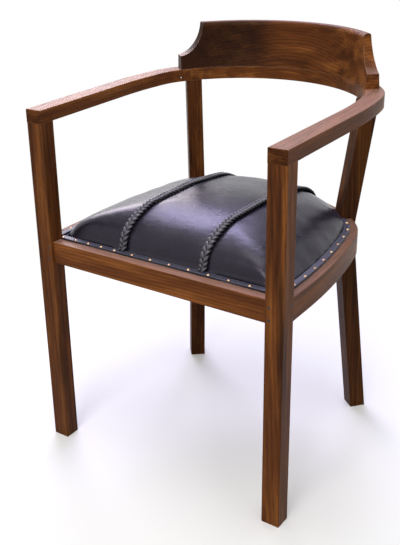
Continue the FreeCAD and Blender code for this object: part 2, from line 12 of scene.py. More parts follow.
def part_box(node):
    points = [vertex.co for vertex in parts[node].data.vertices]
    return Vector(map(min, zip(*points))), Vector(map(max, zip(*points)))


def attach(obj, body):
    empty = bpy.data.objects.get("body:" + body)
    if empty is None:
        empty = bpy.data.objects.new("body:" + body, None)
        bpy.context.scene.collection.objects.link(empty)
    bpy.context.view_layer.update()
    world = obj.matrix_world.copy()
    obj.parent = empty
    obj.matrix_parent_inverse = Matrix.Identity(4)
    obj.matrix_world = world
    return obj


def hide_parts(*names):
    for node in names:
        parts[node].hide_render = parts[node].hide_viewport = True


bl_info = {
    "name": "Captains chair",
    "version": (1, 0, 0),
    "blender": (4, 5, 0),
    "location": "3D View > Sidebar > Chair",
    "description": "Wood, leather, braids and nails for a captains chair",
    "category": "Object",
}

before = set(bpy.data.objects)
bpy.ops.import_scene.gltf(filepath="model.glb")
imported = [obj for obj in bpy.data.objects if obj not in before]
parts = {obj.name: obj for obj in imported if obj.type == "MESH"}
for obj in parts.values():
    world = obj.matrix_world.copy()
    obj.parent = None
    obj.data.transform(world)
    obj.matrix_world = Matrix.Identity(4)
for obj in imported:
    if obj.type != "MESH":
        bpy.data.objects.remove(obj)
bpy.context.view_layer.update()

# Camera, fitted to the outlines in the photograph, whose size is 400 by 545
CAMERA_AZIMUTH = 38.23
CAMERA_ELEVATION = 23.20
CAMERA_ROLL = -2.60
CAMERA_PLACE = Vector((0.86339, -1.40677, 1.08330))
CAMERA_FOCUS = 884.74
CAMERA_CENTRE = (136.53, 253.80)
PHOTO_SIZE = (400, 545)
FLOOR_LIFT = 0.15

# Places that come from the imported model
SEAM_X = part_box("leather_centre")[1].x
FLANGE_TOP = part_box("edge_band_front")[0].z
BAND_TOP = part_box("edge_band_front")[1].z
PAD_LOW, PAD_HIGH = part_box("seat_pad")


class ChairSizes(bpy.types.PropertyGroup):
    """Sizes that a user may change."""

    leather_thickness: FloatProperty(
        name="Leather", description="Thickness of the seat leather", default=0.0019, unit="LENGTH")
    cover_voxel: FloatProperty(
        name="Cover mesh", description="Size of the faces of the leather cover", default=0.004,
        unit="LENGTH")
    seam_depth: FloatProperty(
        name="Seam depth", description="How far the cover dips under each lace", default=0.0014, unit="LENGTH")
    crease_depth: FloatProperty(
        name="Creases", description="Depth of the soft creases in the leather", default=0.0018, unit="LENGTH")
    lace_width: FloatProperty(
        name="Lace width", description="Width of a braided lace", default=0.0175, unit="LENGTH")
    lace_strand: FloatProperty(
        name="Strand", description="Width of one strand of a lace", default=0.0062, unit="LENGTH")
    lace_strand_thickness: FloatProperty(
        name="Strand thickness", description="Thickness of one strand", default=0.0037, unit="LENGTH")
    lace_repeat: FloatProperty(
        name="Braid repeat", description="Length in which a strand crosses over and back", default=0.0280,
        unit="LENGTH")
    lace_strands: IntProperty(name="Strands", description="Strands in a lace", default=3)


def colour(label, words, value):
    """Colour setting for the panel."""
    return FloatVectorProperty(
        name=label, description=words, default=value, size=4, min=0, max=1, subtype="COLOR")


class ChairColours(bpy.types.PropertyGroup):
    """Colours that a user may change."""

    walnut: colour("Walnut", "Middle tone of the wood", (0.150, 0.047, 0.0135, 1))
    walnut_light: colour("Light walnut", "Light, orange streaks", (0.300, 0.105, 0.0260, 1))
    walnut_dark: colour("Dark walnut", "Dark heart streaks", (0.014, 0.0065, 0.0050, 1))
    # Painted sheen: pale colour laid on up-facing tops in place of the sky's reflection
    walnut_top_sheen: colour("Walnut top sheen", "Paler colour painted on up-facing tops as a sheen", (0.27, 0.155, 0.120, 1))
    # Painted highlight: light colour laid on upper edges in place of their glint
    walnut_edge_highlight: colour("Walnut edges", "Light colour painted on upper edges as a highlight", (0.62, 0.42, 0.30, 1))
    plug: colour("Plugs", "Dark end grain of the plugs", (0.022, 0.012, 0.010, 1))
    block: colour("Hidden wood", "Blocks under the seat", (0.30, 0.17, 0.08, 1))
    leather: colour("Leather", "Seat leather", (0.0100, 0.0080, 0.0150, 1))
    leather_sheen: colour("Leather sheen", "Soft sheen of the leather", (0.42, 0.44, 0.80, 1))
    band: colour("Band", "Leather band round the edge", (0.016, 0.0155, 0.023, 1))
    lace: colour("Lace", "Braided laces", (0.004, 0.004, 0.005, 1))
    brass: colour("Brass", "Domed nails", (0.62, 0.44, 0.27, 1))
    steel: colour("Steel", "Pins and screws", (0.62, 0.60, 0.57, 1))
    floor: colour("Floor", "Pale floor", (0.78, 0.78, 0.78, 1))


# Shader maths


class Value:
    """A shader socket that takes part in Python sums."""

    def __init__(self, graph, socket):
        self.graph = graph
        self.socket = socket

    def maths(self, operation, first, second=0.0):
        return self.graph.add("ShaderNodeMath", {"operation": operation}, {0: first, 1: second})

    def __add__(self, other):
        return self.maths("ADD", self, other)

    __radd__ = __add__

    def __sub__(self, other):
        return self.maths("SUBTRACT", self, other)

    def __rsub__(self, other):
        return self.maths("SUBTRACT", other, self)

    def __mul__(self, other):
        return self.maths("MULTIPLY", self, other)

    __rmul__ = __mul__

    def __truediv__(self, other):
        return self.maths("DIVIDE", self, other)

    def fraction(self):
        return self.maths("FRACT", self)

    def size(self):
        return self.maths("ABSOLUTE", self)


class Graph:
    """The nodes of one material."""

    def __init__(self, tree):
        self.tree = tree
        tree.nodes.clear()

    def add(self, kind, settings=None, values=None, output=0):
        """Any node: its settings first, then the values or links of its sockets."""
        node = self.tree.nodes.new(kind)
        for key, setting in (settings or {}).items():
            setattr(node, key, setting)
        for key, value in (values or {}).items():
            if isinstance(value, Value):
                self.tree.links.new(value.socket, node.inputs[key])
            else:
                node.inputs[key].default_value = value
        return Value(self, node.outputs[output]) if node.outputs else None

    def place(self):
        return self.add("ShaderNodeTexCoord", output="Object")

    def scaled(self, vector, factors):
        return self.add("ShaderNodeVectorMath", {"operation": "MULTIPLY"}, {0: vector, 1: factors})

    def length(self, vector):
        return self.add("ShaderNodeVectorMath", {"operation": "LENGTH"}, {0: vector}, output="Value")

    def along(self, vector, direction):
        values = {0: vector, 1: direction}
        return self.add("ShaderNodeVectorMath", {"operation": "DOT_PRODUCT"}, values, output="Value")

    def noise(self, vector, scale=1.0, detail=2.0, rough=0.5):
        values = {"Vector": vector, "Scale": scale, "Detail": detail, "Roughness": rough}
        return self.add("ShaderNodeTexNoise", {}, values)

    def step(self, value, low, high, start=0.0, end=1.0):
        """Smooth step of a value between low and high."""
        values = {"Value": value, "From Min": low, "From Max": high, "To Min": start, "To Max": end}
        return self.add("ShaderNodeMapRange", {"interpolation_type": "SMOOTHSTEP"}, values)

    def mix(self, share, first, second):
        values = {0: share, 6: first, 7: second}
        return self.add("ShaderNodeMix", {"data_type": "RGBA"}, values, output=2)

    def shaded(self, tone, strength):
        """A colour made lighter or darker by a number."""
        tone = tone if isinstance(tone, Value) else tuple(tone)[:3]
        return self.add("ShaderNodeVectorMath", {"operation": "SCALE"}, {0: tone, "Scale": strength})

    def bump(self, height, depth):
        return self.add("ShaderNodeBump", {}, {"Height": height, "Distance": depth, "Strength": 1.0})

    def edges(self, radius):
        """How near an edge is: 0 on a flat face, rising to 1 on the edge itself."""
        soft = self.add("ShaderNodeBevel", {"samples": 4}, {"Radius": radius})
        sharp = self.add("ShaderNodeNewGeometry", output="Normal")
        values = {0: soft, 1: sharp}
        match = self.add("ShaderNodeVectorMath", {"operation": "DOT_PRODUCT"}, values, output="Value")
        return self.step(1 - match, 0.0, 0.22)

    def finish(self, **values):
        """The surface shader, with socket names written with underscores."""
        named = {key.replace("_", " "): value for key, value in values.items()}
        shader = self.add("ShaderNodeBsdfPrincipled", {}, named)
        self.add("ShaderNodeOutputMaterial", {}, {"Surface": shader})


def new_material(name):
    material = bpy.data.materials.new(name)
    material.use_nodes = True
    return material, Graph(material.node_tree)


def paint(node, material):
    """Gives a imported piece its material."""
    mesh = parts[node].data
    mesh.materials.clear()
    mesh.materials.append(material)


def settings():
    return bpy.context.scene.chair_sizes, bpy.context.scene.chair_colours


# Wood

GRAIN_TURN = {"x": (0, -90, 0), "y": (90, 0, 0), "z": (0, 0, 0)}
GRAIN_AXIS = {"x": (1, 0, 0), "y": (0, 1, 0), "z": (0, 0, 1)}

# Each board: the way its grain runs, where the heart of the tree lies beside it in metres and how it
# leans in degrees, how wide its rings are, how light it is, how strong its dark heart streaks are,
# and the stretch of X over which it turns darker towards -X, if it does
BOARDS = {
    "front_leg_left": ("z", (0.060, -0.052), (0.9, -0.8), 0.0065, 0.86, 0.70, None),
    "front_leg_right": ("z", (-0.064, -0.030), (-1.5, 1.1), 0.0060, 1.00, 0.85, None),
    "rear_leg_left": ("z", (0.05, 0.06), (1.0, 0.5), 0.0065, 0.50, 0.9, None),
    "rear_leg_right": ("z", (0.06, 0.035), (-1.0, 1.5), 0.0065, 0.52, 0.9, None),
    "front_rail": ("x", (0.090, 0.060), (1.2, 1.5), 0.0060, 1.16, 0.40, None),
    "side_rail_left": ("y", (0.05, 0.080), (1.0, 1.0), 0.0060, 0.95, 0.5, None),
    "side_rail_right": ("y", (-0.05, 0.080), (-1.0, 1.5), 0.0060, 0.95, 0.5, None),
    "rear_rail": ("x", (0.10, -0.040), (1.0, 1.0), 0.0060, 0.85, 0.6, None),
    "arm_left": ("y", (0.020, 0.090), (1.5, 1.0), 0.0055, 1.12, 0.45, None),
    "arm_right": ("y", (-0.030, 0.095), (-1.0, 1.2), 0.0055, 1.12, 0.45, None),
    "back_bow": ("x", (0.085, 0.035), (1.0, -1.2), 0.0055, 1.00, 0.5, None),
    "crest_rail": ("x", (0.210, 0.060), (1.0, -1.6), 0.0055, 0.92, 0.55, (-0.015, -0.105)),
}


def board_wood(node, seed):
    """Walnut for one board: rings round the heart, dark and light streaks, fibre and pores, with a painted
    sheen on its tops and painted highlights on its upper edges.
    """
    grain, heart, lean, ring, tone, streaks, darker_stretch_x = BOARDS[node]
    _, tints = settings()
    material, graph = new_material("walnut_" + node)
    low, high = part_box(node)
    turn = Euler([math.radians(angle) for angle in GRAIN_TURN[grain]])
    lean = Euler((math.radians(lean[0]), math.radians(lean[1]), 0))
    matrix = lean.to_matrix() @ turn.to_matrix()
    shift = Vector((heart[0], heart[1], 0.37 * seed)) - matrix @ ((low + high) / 2)
    values = {"Vector": graph.place(), "Location": shift, "Rotation": matrix.to_euler()}
    inside = graph.add("ShaderNodeMapping", {}, values)

    broad = graph.noise(graph.scaled(inside, (7, 7, 1.6)), detail=2.0)
    wander = graph.noise(graph.scaled(inside, (30, 30, 5)), detail=3.0)
    from_heart = graph.length(graph.scaled(inside, (1, 1, 0)))
    rings = ((from_heart + (broad - 0.5) * 0.034 + (wander - 0.5) * 0.008) / ring).fraction()
    late = graph.step(rings, 0.30, 0.90) * (1 - graph.step(rings, 0.90, 1.0))
    heart_tone = graph.noise(graph.scaled(inside, (30, 30, 2.0)), detail=3.0, rough=0.6)
    dark = graph.step(heart_tone, 0.48, 0.70) * streaks
    bright = graph.step(graph.noise(graph.scaled(inside, (45, 45, 3.0)), detail=3.0), 0.42, 0.66)
    figure = graph.noise(graph.scaled(inside, (210, 210, 9)), detail=4.0, rough=0.62)
    fibre = graph.noise(graph.scaled(inside, (620, 620, 16)), detail=2.0, rough=0.6)
    pores = graph.step(graph.noise(graph.scaled(inside, (1100, 1100, 45)), detail=1.0), 0.60, 0.70)

    wood = graph.mix(bright * 0.85, tuple(tints.walnut), tuple(tints.walnut_light))
    wood = graph.mix(dark, wood, tuple(tints.walnut_dark))
    wood = graph.mix(late * 0.32, wood, tuple(tints.walnut_dark))
    # Darker towards -X over the given stretch of X, mixed towards the dark walnut colour
    if darker_stretch_x:
        across = graph.along(graph.place(), (1, 0, 0)) + (wander - 0.5) * 0.10
        wood = graph.mix(graph.step(across, *darker_stretch_x) * 0.80, wood, tuple(tints.walnut_dark))
    normal = graph.add("ShaderNodeTexCoord", output="Normal")
    end_grain = graph.step(graph.along(normal, GRAIN_AXIS[grain]).size(), 0.80, 0.97)
    upward = graph.along(normal, (0, 0, 1))
    # Mask for the painted highlight on the upper edges
    edge_highlight = graph.edges(0.0022)
    # Painted sheen: up-facing tops are mixed towards a pale pinkish colour in place of the sky's reflection
    wood = graph.mix(graph.step(upward, 0.72, 0.97) * 0.65, wood, tuple(tints.walnut_top_sheen))
    # Painted highlight: upper edges are mixed towards a light colour in place of their glint
    wood = graph.mix(edge_highlight * graph.step(upward, -0.1, 0.5) * 0.55, wood, tuple(tints.walnut_edge_highlight))
    shade = (0.25 + figure * 1.10 + fibre * 0.40) * tone * (1 - pores * 0.35) * (1 - end_grain * 0.50)
    wood = graph.shaded(wood, shade)
    rough = 0.36 + (fibre - 0.5) * 0.16 + end_grain * 0.14 + pores * 0.10
    bump = graph.bump(1 - pores * 0.6 - late * 0.2 + figure * 0.5 + fibre * 0.2, 0.00020)
    graph.finish(Base_Color=wood, Roughness=rough, Normal=bump, Specular_IOR_Level=0.05)
    return material


def plain_wood(name, base, size=1.0):
    """Simple grained wood for plugs, dowels and the blocks under the seat."""
    material, graph = new_material(name)
    place = graph.place()
    fibre = graph.noise(graph.scaled(place, (300 * size, 300 * size, 40 * size)), detail=2.0)
    cloud = graph.noise(graph.scaled(place, (40, 40, 15)), detail=2.0)
    wood = graph.shaded(base, 0.6 + fibre * 0.4 + cloud * 0.4)
    graph.finish(Base_Color=wood, Roughness=0.45 + fibre * 0.15, Normal=graph.bump(fibre, 0.0002))
    return material


def plywood():
    """Seat board: thin plies on its edge and a pale face."""
    _, tints = settings()
    material, graph = new_material("plywood")
    place = graph.place()
    plies = (graph.along(place, (0, 0, 1)) / 0.0016).fraction()
    grain = graph.noise(graph.scaled(place, (18, 240, 18)), detail=2.0)
    wood = graph.mix(graph.step(plies, 0.45, 0.55), tuple(tints.block), (0.42, 0.27, 0.14, 1))
    wood = graph.shaded(wood, 0.7 + grain * 0.5)
    graph.finish(Base_Color=wood, Roughness=0.6 + grain * 0.1, Normal=graph.bump(grain, 0.0002))
    return material


# Metal


def brass():
    """Domed nail heads, a little tarnished and not quite even."""
    _, tints = settings()
    material, graph = new_material("brass")
    place = graph.place()
    cloud = graph.noise(graph.scaled(place, (70, 70, 70)), detail=3.0)
    speck = graph.noise(graph.scaled(place, (900, 900, 900)), detail=2.0)
    metal = graph.mix(graph.step(cloud, 0.35, 0.7), tuple(tints.brass), (0.40, 0.22, 0.14, 1))
    metal = graph.mix(graph.step(speck, 0.58, 0.75) * 0.5, metal, (0.22, 0.13, 0.08, 1))
    graph.finish(Base_Color=metal, Metallic=1.0, Roughness=0.30 + speck * 0.18,
                 Normal=graph.bump(speck, 0.0001))
    return material


def steel():
    _, tints = settings()
    material, graph = new_material("steel")
    speck = graph.noise(graph.place(), scale=600.0, detail=2.0)
    graph.finish(Base_Color=tuple(tints.steel), Metallic=1.0, Roughness=0.25 + speck * 0.2)
    return material


# Leather


def seat_leather():
    """Near-black leather with a fine pebbled grain, soft creases and a cool sheen."""
    _, tints = settings()
    material, graph = new_material("seat_leather")
    place = graph.place()
    drift = graph.noise(place, scale=30.0, detail=2.0)
    pebble = graph.add("ShaderNodeTexVoronoi", {"feature": "DISTANCE_TO_EDGE"},
                       {"Vector": place, "Scale": 620.0, "Randomness": 1.0}, output="Distance")
    grain = graph.step(pebble, 0.0, 0.30)
    pulls = graph.noise(graph.scaled(place, (46, 90, 90)), detail=4.0, rough=0.62)
    cloud = graph.noise(graph.scaled(place, (9, 9, 9)), detail=3.0)
    rub = graph.step(cloud, 0.42, 0.72)
    tone = graph.mix(rub * 0.6, tuple(tints.leather), (0.015, 0.014, 0.021, 1))
    tone = graph.mix((1 - grain) * 0.35, tone, (0.008, 0.008, 0.010, 1))
    rough = 0.26 + (cloud - 0.5) * 0.20 + (pulls - 0.5) * 0.10
    height = grain * 0.30 + pulls * 1.2 + drift * 0.8
    graph.finish(Base_Color=tone, Roughness=rough, Normal=graph.bump(height, 0.00018),
                 Specular_IOR_Level=0.36, Specular_Tint=(0.90, 0.82, 1.0, 1),
                 Sheen_Weight=0.05, Sheen_Roughness=0.45, Sheen_Tint=tuple(tints.leather_sheen))
    return material


def lace_leather():
    """Black leather of the braided strands, with a painted highlight making the top of each strand greyer and
    painted shade in the gaps.
    """
    _, tints = settings()
    material, graph = new_material("lace_leather")
    place = graph.place()
    speck = graph.noise(graph.scaled(place, (500, 500, 500)), detail=2.0)
    height = graph.add("ShaderNodeAttribute", {"attribute_name": "strand_height"}, output="Fac")
    # Painted highlight on the strand tops and painted shade in the gaps, by height within the braid
    painted_strand_light = graph.step(height, 0.35, 0.95)
    tone = graph.mix(painted_strand_light, tuple(tints.lace), (0.085, 0.080, 0.098, 1))
    graph.finish(Base_Color=tone, Roughness=0.62 - painted_strand_light * 0.34 + speck * 0.10,
                 Normal=graph.bump(speck, 0.00015), Specular_IOR_Level=0.30)
    return material


def band_leather():
    """Near-black flat band with painted highlights on its upper edges and painted shadow on its sides."""
    _, tints = settings()
    material, graph = new_material("band_leather")
    place = graph.place()
    pebble = graph.add("ShaderNodeTexVoronoi", {"feature": "F1"},
                       {"Vector": place, "Scale": 700.0}, output="Distance")
    cloud = graph.noise(place, scale=60.0, detail=3.0)
    upward = graph.along(graph.add("ShaderNodeTexCoord", output="Normal"), (0, 0, 1))
    # Painted highlight: up-facing edges of the band are mixed towards light grey
    edge_highlight = graph.edges(0.0007) * graph.step(upward, 0.2, 0.7)
    tone = graph.mix(cloud * 0.6, tuple(tints.band), (0.034, 0.033, 0.048, 1))
    tone = graph.mix(edge_highlight * 0.8, tone, (0.22, 0.21, 0.25, 1))
    # Painted shadow: faces that do not face upward, the band's sides, are made near-black in place of the
    # shadow line between band and wood
    tone = graph.mix(graph.step(upward, 0.45, 0.15), tone, (0.004, 0.004, 0.005, 1))
    graph.finish(Base_Color=tone, Roughness=0.42 + cloud * 0.1,
                 Normal=graph.bump(1 - pebble, 0.00012), Sheen_Weight=0.3,
                 Sheen_Tint=tuple(tints.leather_sheen))
    return material


def foam():
    material, graph = new_material("foam")
    cells = graph.add("ShaderNodeTexVoronoi", {"feature": "F1"},
                      {"Vector": graph.place(), "Scale": 500.0}, output="Distance")
    tone = graph.mix(cells, (0.62, 0.55, 0.36, 1), (0.75, 0.68, 0.48, 1))
    graph.finish(Base_Color=tone, Roughness=0.9, Normal=graph.bump(cells, 0.0004))
    return material


# Making meshes


def cad_copy(*nodes):
    """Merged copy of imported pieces."""
    shape = bmesh.new()
    for node in nodes:
        shape.from_mesh(parts[node].data)
    bmesh.ops.remove_doubles(shape, verts=shape.verts, dist=2e-5)
    return shape


def add_piece(name, shape, material):
    """Turns a bmesh into a piece of the chair that rides on the root body."""
    mesh = bpy.data.meshes.new(name)
    shape.to_mesh(mesh)
    shape.free()
    mesh.materials.append(material)
    piece = bpy.data.objects.new(name, mesh)
    bpy.context.scene.collection.objects.link(piece)
    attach(piece, "root")
    return piece


def smooth(piece):
    piece.data.polygons.foreach_set("use_smooth", [True] * len(piece.data.polygons))


def baked(shape, modifiers):
    """A bmesh with some modifiers worked in: each is a type and its settings."""
    mesh = bpy.data.meshes.new("draft")
    shape.to_mesh(mesh)
    shape.free()
    draft = bpy.data.objects.new("draft", mesh)
    bpy.context.scene.collection.objects.link(draft)
    for kind, settings_of in modifiers:
        modifier = draft.modifiers.new(kind.lower(), kind)
        for key, value in settings_of.items():
            setattr(modifier, key, value)
    bpy.context.view_layer.update()
    result = bmesh.new()
    result.from_object(draft, bpy.context.evaluated_depsgraph_get())
    bpy.data.objects.remove(draft)
    bpy.data.meshes.remove(mesh)
    return result


def cut(shape, place, normal, drop_front=False, drop_back=False):
    """Cuts a bmesh at a plane and drops what lies on one side of it."""
    everything = shape.verts[:] + shape.edges[:] + shape.faces[:]
    bmesh.ops.bisect_plane(shape, geom=everything, plane_co=place, plane_no=normal, dist=1e-6,
                           clear_outer=drop_front, clear_inner=drop_back)


# Seat cover

SMOOTH_ROUNDS = 6
FIRM_FOOT = 0.006  # height at the foot of the pad that smoothing leaves alone
SEAM_REACH = 0.011  # how far to the side a seam still draws the leather in
GATHER_REACH = 0.014
GATHER_PITCH = 0.011
TUCK_DEPTH = 0.0034
FOOT_FLARE = 0.0012
FULLNESS = 0.0060
FOAM_VOXEL = 0.007
FOAM_GAP = 0.0045  # from the pad's packed face in to the foam's


def pad_mesh(voxel):
    """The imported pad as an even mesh."""
    return baked(cad_copy("seat_pad"), [("REMESH", {"mode": "VOXEL", "voxel_size": voxel})])


def crowned_cover():
    """The leather's outer skin in one piece: the pad's form grown by the leather, with soft creases."""
    sizes, _ = settings()
    shape = pad_mesh(sizes.cover_voxel)
    for _ in range(SMOOTH_ROUNDS):
        inner = [vert for vert in shape.verts if vert.co.z > PAD_LOW.z + FIRM_FOOT]
        bmesh.ops.smooth_vert(
            shape, verts=inner, factor=0.5, use_axis_x=True, use_axis_y=True, use_axis_z=True)
    shape.normal_update()
    for vert in shape.verts:
        vert.co += vert.normal * sizes.leather_thickness
    shape.normal_update()
    for vert in shape.verts:
        moved = crease(vert.co) + fullness(vert.co) - seam_dip(vert.co) - tuck(vert.co)
        vert.co += vert.normal * moved
    cut(shape, (0, 0, FLANGE_TOP + 0.0001), (0, 0, 1), drop_back=True)
    return shape


def seam_dip(place):
    """How far the leather is drawn in under the laces, in metres."""
    sizes, _ = settings()
    away = abs(abs(place.x) - SEAM_X)
    return sizes.seam_depth * math.exp(-(away / SEAM_REACH) ** 2)


def eased(value, low, high):
    """Smooth step from 0 at low to 1 at high."""
    share = min(max((value - low) / (high - low), 0.0), 1.0)
    return share * share * (3 - 2 * share)


def tuck(place):
    """How far the leather is drawn in above the band, and let out again at its very foot."""
    height = place.z - FLANGE_TOP
    ledge = eased(height, 0.001, 0.009) * (1 - eased(height, 0.012, 0.038))
    foot = FOOT_FLARE * (1 - eased(height, 0.001, 0.005))
    uneven = 0.75 + 0.5 * noise.noise(Vector((place.x * 9 + 4, place.y * 9, 0)))
    return TUCK_DEPTH * ledge * uneven * (1 - 0.7 * eased(place.y, -0.10, 0.05)) - foot


def fullness(place):
    """How far the stuffing bulges towards the rear."""
    height = place.z - PAD_LOW.z
    upright = eased(height, 0.004, 0.014) * (1 - eased(height, 0.045, 0.070))
    return FULLNESS * eased(place.y, 0.0, 0.12) * upright


def crease(place):
    """Soft unevenness of the stuffed leather, stronger low on the sides, and gathers at the seams."""
    sizes, _ = settings()
    height = (place.z - PAD_LOW.z) / (PAD_HIGH.z - PAD_LOW.z)
    low = max(0.0, 1 - height) ** 1.5
    wide = noise.noise(Vector((place.x * 11, place.y * 13, place.z * 9)))
    pulled = noise.noise(Vector((place.x * 38, place.y * 34, place.z * 6 + 3)))
    seam = math.exp(-abs(abs(place.x) - SEAM_X) / GATHER_REACH)
    gathers = math.sin(place.y * 2 * math.pi / GATHER_PITCH + 3 * wide) * seam * 0.16
    return sizes.crease_depth * (wide * 0.35 + pulled * (0.10 + 1.0 * low) + gathers)


def add_cover():
    """Three leather panels over the pad, each with its flat edge under the band. Returns their skin."""
    sizes, _ = settings()
    leather = seat_leather()
    whole = crowned_cover()
    skin = BVHTree.FromBMesh(whole)
    bounds = {
        "leather_left": (-1, -SEAM_X),
        "leather_centre": (-SEAM_X, SEAM_X),
        "leather_right": (SEAM_X, 1),
    }
    for node, (left, right) in bounds.items():
        shape = whole.copy()
        cut(shape, (left, 0, 0), (1, 0, 0), drop_back=True)
        cut(shape, (right, 0, 0), (1, 0, 0), drop_front=True)
        shape = baked(shape, [("SOLIDIFY", {"thickness": sizes.leather_thickness, "offset": -1})])
        flange = cad_copy(node)
        cut(flange, (0, 0, FLANGE_TOP - 0.00005), (0, 0, 1), drop_front=True)
        holes = [edge for edge in flange.edges if edge.is_boundary]
        bmesh.ops.holes_fill(flange, edges=holes)
        flat = bpy.data.meshes.new("flat")
        flange.to_mesh(flat)
        flange.free()
        shape.from_mesh(flat)
        bpy.data.meshes.remove(flat)
        panel = add_piece("cover_" + node.split("_")[1], shape, leather)
        smooth(panel)
        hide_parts(node)
    whole.free()
    return skin


def add_foam():
    """The foam pad, which follows the cover from inside."""
    shape = pad_mesh(FOAM_VOXEL)
    shape.normal_update()
    for vert in shape.verts:
        moved = fullness(vert.co) - seam_dip(vert.co) - 1.15 * tuck(vert.co) - FOAM_GAP
        vert.co += vert.normal * moved
    pad = add_piece("pad", shape, foam())
    smooth(pad)
    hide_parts("seat_pad")


# Laces

STRAND_SWING = 0.62  # how far a strand rises and dips, as a share of its thickness
LACE_SEAT = 0.0022  # how far the lowest strand's middle lies above the cover
PROFILE_POINTS = 8
STEPS_PER_TURN = 20
PATH_RAYS = 361


def lace_path(skin, x):
    """Points and outward normals over the cover at one seam, from the front to the rear."""
    low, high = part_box("lace_right")
    middle = Vector((x, (low.y + high.y) / 2, BAND_TOP))
    found = []
    for number in range(PATH_RAYS):
        angle = math.pi * number / (PATH_RAYS - 1)
        out = Vector((0, -math.cos(angle), math.sin(angle)))
        hit, normal, _, _ = skin.ray_cast(middle + out * 0.5, -out)
        if hit is not None and hit.z >= BAND_TOP - 0.0015:
            found.append((hit, Vector((0, normal.y, normal.z)).normalized()))
    return found


def braid(sizes, length):
    """Flat braid laid out straight: x across, y along and z up."""
    turns = max(1, round(length / sizes.lace_repeat))
    reach = (sizes.lace_width - sizes.lace_strand) / 2
    rise = sizes.lace_strand_thickness * STRAND_SWING
    profile = bpy.data.curves.new("strand_profile", "CURVE")
    ring = profile.splines.new("POLY")
    ring.points.add(PROFILE_POINTS - 1)
    ring.use_cyclic_u = True
    for number, point in enumerate(ring.points):
        angle = 2 * math.pi * number / PROFILE_POINTS
        across = math.cos(angle) * sizes.lace_strand / 2
        up = math.sin(angle) * sizes.lace_strand_thickness / 2
        point.co = (across, up, 0, 1)
    outline = bpy.data.objects.new("strand_profile", profile)
    bpy.context.scene.collection.objects.link(outline)
    line = bpy.data.curves.new("braid", "CURVE")
    line.dimensions = "3D"
    line.twist_mode = "Z_UP"
    line.bevel_mode = "OBJECT"
    line.bevel_object = outline
    line.use_fill_caps = True
    steps = turns * STEPS_PER_TURN
    for strand in range(sizes.lace_strands):
        spline = line.splines.new("POLY")
        spline.points.add(steps)
        for number, point in enumerate(spline.points):
            angle = 2 * math.pi * (number * turns / steps + strand / sizes.lace_strands)
            across = reach * math.sin(angle)
            up = rise * math.sin(2 * angle)
            point.co = (across, length * number / steps, up, 1)
    draft = bpy.data.objects.new("braid", line)
    bpy.context.scene.collection.objects.link(draft)
    bpy.context.view_layer.update()
    solid = draft.evaluated_get(bpy.context.evaluated_depsgraph_get())
    mesh = bpy.data.meshes.new_from_object(solid)
    shape = bmesh.new()
    shape.from_mesh(mesh)
    bpy.data.meshes.remove(mesh)
    for gone in (draft, outline):
        bpy.data.objects.remove(gone)
    return shape


def add_lace(skin, side):
    """One braided lace over a seam, bent to the cover from band to band."""
    sizes, _ = settings()
    name = "lace_right" if side > 0 else "lace_left"
    path = lace_path(skin, SEAM_X * side)
    if len(path) < 20:
        raise RuntimeError("the lace has no seam to follow: " + name)
    reach = [0.0]
    for (before, _), (after, _) in zip(path, path[1:]):
        reach.append(reach[-1] + (after - before).length)
    shape = braid(sizes, reach[-1])
    rise = sizes.lace_strand_thickness * STRAND_SWING + LACE_SEAT
    # Height of each vertex within the braid, from which the lace material paints highlights on the strand tops
    # and shade in the gaps
    level = shape.verts.layers.float.new("strand_height")
    lowest = min(vert.co.z for vert in shape.verts)
    highest = max(vert.co.z for vert in shape.verts)
    for vert in shape.verts:
        vert[level] = (vert.co.z - lowest) / (highest - lowest)
    at = 0
    for vert in sorted(shape.verts, key=lambda one: one.co.y):
        distance = min(max(vert.co.y, 0.0), reach[-1])
        while at < len(reach) - 2 and reach[at + 1] < distance:
            at += 1
        share = (distance - reach[at]) / max(reach[at + 1] - reach[at], 1e-9)
        point = path[at][0].lerp(path[at + 1][0], share)
        normal = path[at][1].lerp(path[at + 1][1], share).normalized()
        vert.co = point + Vector((vert.co.x, 0, 0)) + normal * (vert.co.z + rise)
    lace = add_piece(name.replace("lace", "braid"), shape, lace_leather())
    smooth(lace)
    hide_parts(name)


# Band

NAIL_HOLE = 0.003  # wider than any nail hole, narrower than a band
BAND_STEPS = ((0.0006, 0.0004), (0.0011, 0.0), (0.0004, -0.0005), (0.0004, 0.0005))


def spans_less(spots, limit):
    """Whether points lie within a limit of each other in both X and Y."""
    return all(max(spot[axis] for spot in spots) - min(spot[axis] for spot in spots) < limit
               for axis in (0, 1))


def close_nail_holes(shape):
    """Fills the holes for the nails, so that the band's top is one plain face."""
    walls = {face for face in shape.faces if abs(face.normal.z) < 0.5}
    holes = []
    while walls:
        island = [walls.pop()]
        for face in island:
            near = {other for edge in face.edges for other in edge.link_faces} & walls
            island += near
            walls -= near
        spots = [vert.co for face in island for vert in face.verts]
        if spans_less(spots, NAIL_HOLE):
            holes += island
    bmesh.ops.delete(shape, geom=holes, context="FACES_ONLY")
    bmesh.ops.holes_fill(shape, edges=[edge for edge in shape.edges if edge.is_boundary])


def add_band(node, material):
    """Band with rolled edges and a pressed line along each of them."""
    shape = cad_copy(node)
    close_nail_holes(shape)
    top = [face for face in shape.faces if face.normal.z > 0.9]
    for thickness, depth in BAND_STEPS:
        bmesh.ops.inset_region(shape, faces=top, thickness=thickness, depth=depth, use_even_offset=False,
                               use_boundary=True)
    band = add_piece(node.replace("edge_band", "band"), shape, material)
    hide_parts(node)


# Stage


